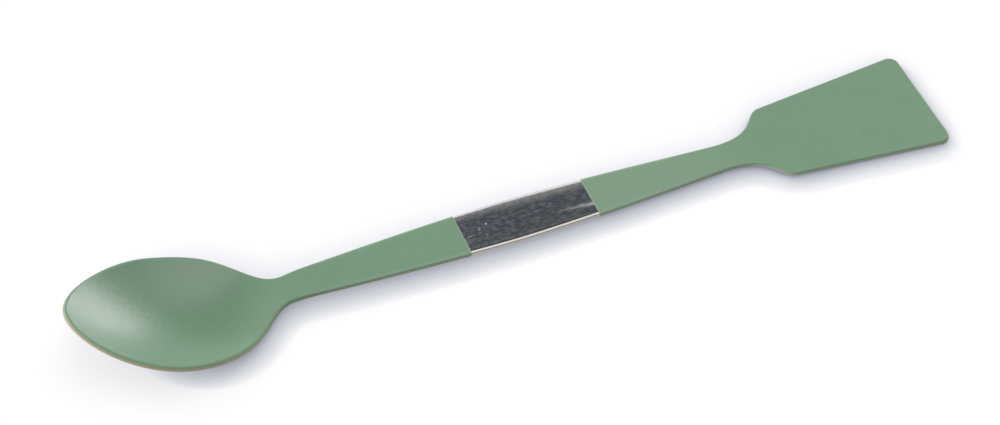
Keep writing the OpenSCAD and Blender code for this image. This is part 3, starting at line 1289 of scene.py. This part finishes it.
@dataclass
class Coat:
    """A thin coat round one end of the strip, with a rounded lip along its border."""

    maker: SkinMaker
    node: Node
    lip_length: float = 0.12 * MM
    wander: float = 0.03 * MM
    wander_reach: float = 2 * MM
    wander_waves: tuple[Pair, ...] = ((2.0, 0.7), (4.7, 2.1), (9.5, 0.0))
    lip_steps: int = 6
    rim_steps: int = 84
    neck_steps: int = 8
    handle_steps: int = 40
    shoulder_steps: int = 48
    side_steps: int = 10
    corner_steps: int = 16

    @property
    def border_x(self) -> float:
        """Place of the coat's border on the handle."""
        form = self.maker.form
        return form.bare_start_x if self.node is Node.SPOON_COAT else form.bare_end_x

    def outline(self) -> Outline:
        """Stations of the coat, close together where its lip rounds off.

        Returns:
            The +Y side of the coated end, from the tip to the border or from there to the end.
        """
        form = self.maker.form
        turn = np.linspace(0, math.pi / 2, self.lip_steps + 1)
        lip = self.lip_length * (1 - np.cos(turn))
        if self.node is Node.SPOON_COAT:
            bend = np.linspace(form.bowl_length, form.bend_end_x, self.neck_steps + 1)[1:]
            inner = np.linspace(form.bend_end_x, self.border_x - lip[-1], self.handle_steps + 1)
            places = np.concatenate([bend, inner[1:-1], self.border_x - lip[::-1]])
            return Outline.joined(
                [
                    form.tip(),
                    form.rim_front(self.rim_steps),
                    form.rim_back(self.rim_steps),
                    form.handle(places),
                ]
            )
        inner = np.linspace(self.border_x + lip[-1], form.blade_neck_x, self.handle_steps + 1)
        places = np.concatenate([self.border_x + lip, inner[1:]])
        return Outline.joined(
            [
                form.handle(places),
                form.shoulder(self.shoulder_steps),
                form.blade_side(self.side_steps, self.corner_steps),
            ]
        )

    def _outward(self, outline: Outline) -> Array:
        """Distance of the outer skin from the steel: a quarter ellipse at the lip."""
        inward = np.abs(outline.points[:, 0] - self.border_x) / self.lip_length
        return self.maker.form.coat_thickness * np.sqrt(1 - np.maximum(1 - inward, 0) ** 2)

    def _with_wander(self, loops: Array) -> Array:
        """Lets the border wander along the handle.

        The shift is the mean of a few sines of y, each with its rate to the millimetre and its
        phase, and it fades with the distance from the border.

        Args:
            loops: Grid of points in the strip's frame, with x, y and z along the last axis.

        Returns:
            The shifted grid.
        """
        y = loops[..., 1] / MM
        waves = [np.sin(rate * y + phase) for rate, phase in self.wander_waves]
        pattern = sum(waves) / len(waves)
        near = 1 - ease(np.abs(loops[..., 0] - self.border_x) / self.wander_reach)
        shifted = loops.copy()
        shifted[..., 0] += self.wander * pattern * near
        return shifted

    def _skin(self, surface: Surface, outline: Outline, grow: Array, inward: bool) -> None:
        """Adds one skin of the coat, with the wall of the blade's end if it has one.

        Args:
            surface: Surface that the skin is added to.
            outline: Stations of the coat.
            grow: Distance of the skin outside the steel at each station.
            inward: Whether the faces point at the steel.
        """
        place = self.maker.resting.place
        loops = place(self._with_wander(self.maker.round_stations(outline, grow)))
        surface.add_grid(loops, self.maker.loop_rim, closed=True, inward=inward)
        if self.node is Node.BLADE_COAT:
            wall = place(self.maker.end_wall(outline, grow))
            surface.add_grid(wall, self.maker.section.rim[:, None], closed=False, inward=inward)

    def build(self, material: bpy.types.Material) -> bpy.types.Object:
        """Builds the coat as a closed shell that lies on the steel.

        Args:
            material: The coat's material.

        Returns:
            The finished piece.
        """
        outline = self.outline()
        surface = Surface()
        self._skin(surface, outline, self._outward(outline), inward=False)
        self._skin(surface, outline, np.zeros(len(outline.points)), inward=True)
        piece = surface.to_object(f"{self.node.value}_shell")
        piece.data.materials.append(material)
        hand_over(piece, self.node)
        return piece


# ---------------------------------------------------------------- studio


@dataclass(frozen=True)
class Softbox:
    """A large soft lamp far away, seen from the table under a bearing and a height."""

    name: str
    bearing: float
    height: float
    spread: float
    strength: float
    tint: Triple = (1.0, 1.0, 1.0)

    def build(self) -> None:
        """Adds the lamp: a sun whose disc spans the spread, facing the origin."""
        lamp = bpy.data.lights.new(self.name, "SUN")
        lamp.angle, lamp.energy, lamp.color = math.radians(self.spread), self.strength, self.tint
        holder = bpy.data.objects.new(self.name, lamp)
        way = Vector(way_to(self.bearing, self.height))
        holder.location = way
        holder.rotation_mode = "QUATERNION"
        holder.rotation_quaternion = way.to_track_quat("Z", "Y")
        bpy.context.scene.collection.objects.link(holder)


@dataclass(frozen=True)
class Studio:
    """White table in a light tent with a dark belt, with soft lamps and the camera.

    A name with "ends" holds the two heights on the tent, from 0 at the horizon to 1 overhead,
    between which its colour takes over. The camera is seen from the point that it aims at
    under a bearing and a height in degrees.
    """

    horizon: Colour = (1.05, 1.05, 1.10, 1.0)
    haze: Colour = (0.25, 0.25, 0.25, 1.0)
    haze_ends: Pair = (0.0, 0.46)
    belt: Colour = (0.082, 0.094, 0.108, 1.0)
    belt_ends: Pair = (0.50, 0.74)
    overhead: Colour = (0.50, 0.50, 0.50, 1.0)
    overhead_ends: Pair = (0.82, 1.0)
    lamps: tuple[Softbox, ...] = (
        Softbox("top", bearing=-19.0, height=70.0, spread=50.0, strength=1.2),
        Softbox("behind", bearing=128.0, height=25.0, spread=46.0, strength=1.8, tint=(1.0, 0.98, 1.0)),
        Softbox("left", bearing=178.0, height=8.0, spread=40.0, strength=2.85, tint=(1.0, 0.94, 1.06)),
        Softbox("right", bearing=29.0, height=10.0, spread=34.0, strength=1.6, tint=(1.0, 0.96, 1.04)),
    )
    table_size: float = 8.0
    camera_bearing: float = -112.32
    camera_height: float = 49.084
    distance: float = 501.85 * MM
    aim: Triple = (-2.299 * MM, 3.180 * MM, 1.928 * MM)
    lens: float = 91.8
    sensor: float = 36.0
    clip: Pair = (0.01, 50.0)

    def build_world(self) -> None:
        """Surroundings by height: bright round the horizon and overhead, dark between."""
        world = bpy.data.worlds.new("tent")
        bpy.context.scene.world = world
        world.use_nodes = True
        graph = Graph(world.node_tree)
        way = graph.add("ShaderNodeTexCoord").outputs["Generated"]
        height = graph.axis(way, "Z")
        low = graph.mix(height.step(*self.haze_ends), self.horizon, self.haze)
        belt = graph.mix(height.step(*self.belt_ends), low, self.belt)
        colour = graph.mix(height.step(*self.overhead_ends), belt, self.overhead)
        light = graph.add("ShaderNodeBackground", None, {"Color": colour})
        graph.output("ShaderNodeOutputWorld", light.outputs[0])

    def build_table(self, finish: FloorFinish) -> None:
        """Adds the table top at height 0.

        Args:
            finish: Finish of the table.
        """
        mesh = bpy.data.meshes.new("table")
        half = self.table_size / 2
        corners = [(-half, -half, 0), (half, -half, 0), (half, half, 0), (-half, half, 0)]
        mesh.from_pydata(corners, [], [(0, 1, 2, 3)])
        mesh.materials.append(finish.build())
        table = bpy.data.objects.new("table", mesh)
        bpy.context.scene.collection.objects.link(table)

    def build_camera(self) -> None:
        """Adds the camera, aimed at a point near the middle of the handle."""
        data = bpy.data.cameras.new("camera")
        data.lens, data.sensor_width = self.lens, self.sensor
        data.clip_start, data.clip_end = self.clip
        camera = bpy.data.objects.new("camera", data)
        back = Vector(way_to(self.camera_bearing, self.camera_height))
        camera.location = Vector(self.aim) + back * self.distance
        camera.rotation_mode = "QUATERNION"
        camera.rotation_quaternion = (-back).to_track_quat("-Z", "Y")
        bpy.context.scene.collection.objects.link(camera)
        bpy.context.scene.camera = camera

    def build(self) -> None:
        """Builds the whole studio."""
        bpy.context.scene.view_settings.view_transform = "Standard"
        self.build_world()
        self.build_table(FloorFinish())
        self.build_camera()
        for lamp in self.lamps:
            lamp.build()


def main() -> None:
    """Builds the pieces and the studio in order."""
    logging.basicConfig(level=logging.INFO, format="%(name)s: %(message)s")
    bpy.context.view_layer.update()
    form, section = StripForm(), Section()
    resting = Resting(form, section)
    maker = SkinMaker(form, section, resting)
    SteelStrip(maker).build(SteelFinish())
    ends = resting.place(np.array([[form.bare_start_x, 0, 0], [form.bare_end_x, 0, 0]]))
    left_border, right_border = (float(place) for place in ends[:, 0] / MM)
    coat_material = CoatFinish(borders=(left_border, right_border)).build()
    for node in (Node.SPOON_COAT, Node.BLADE_COAT):
        Coat(maker, node).build(coat_material)
    Studio().build()


if __name__ == "__main__":
    main()
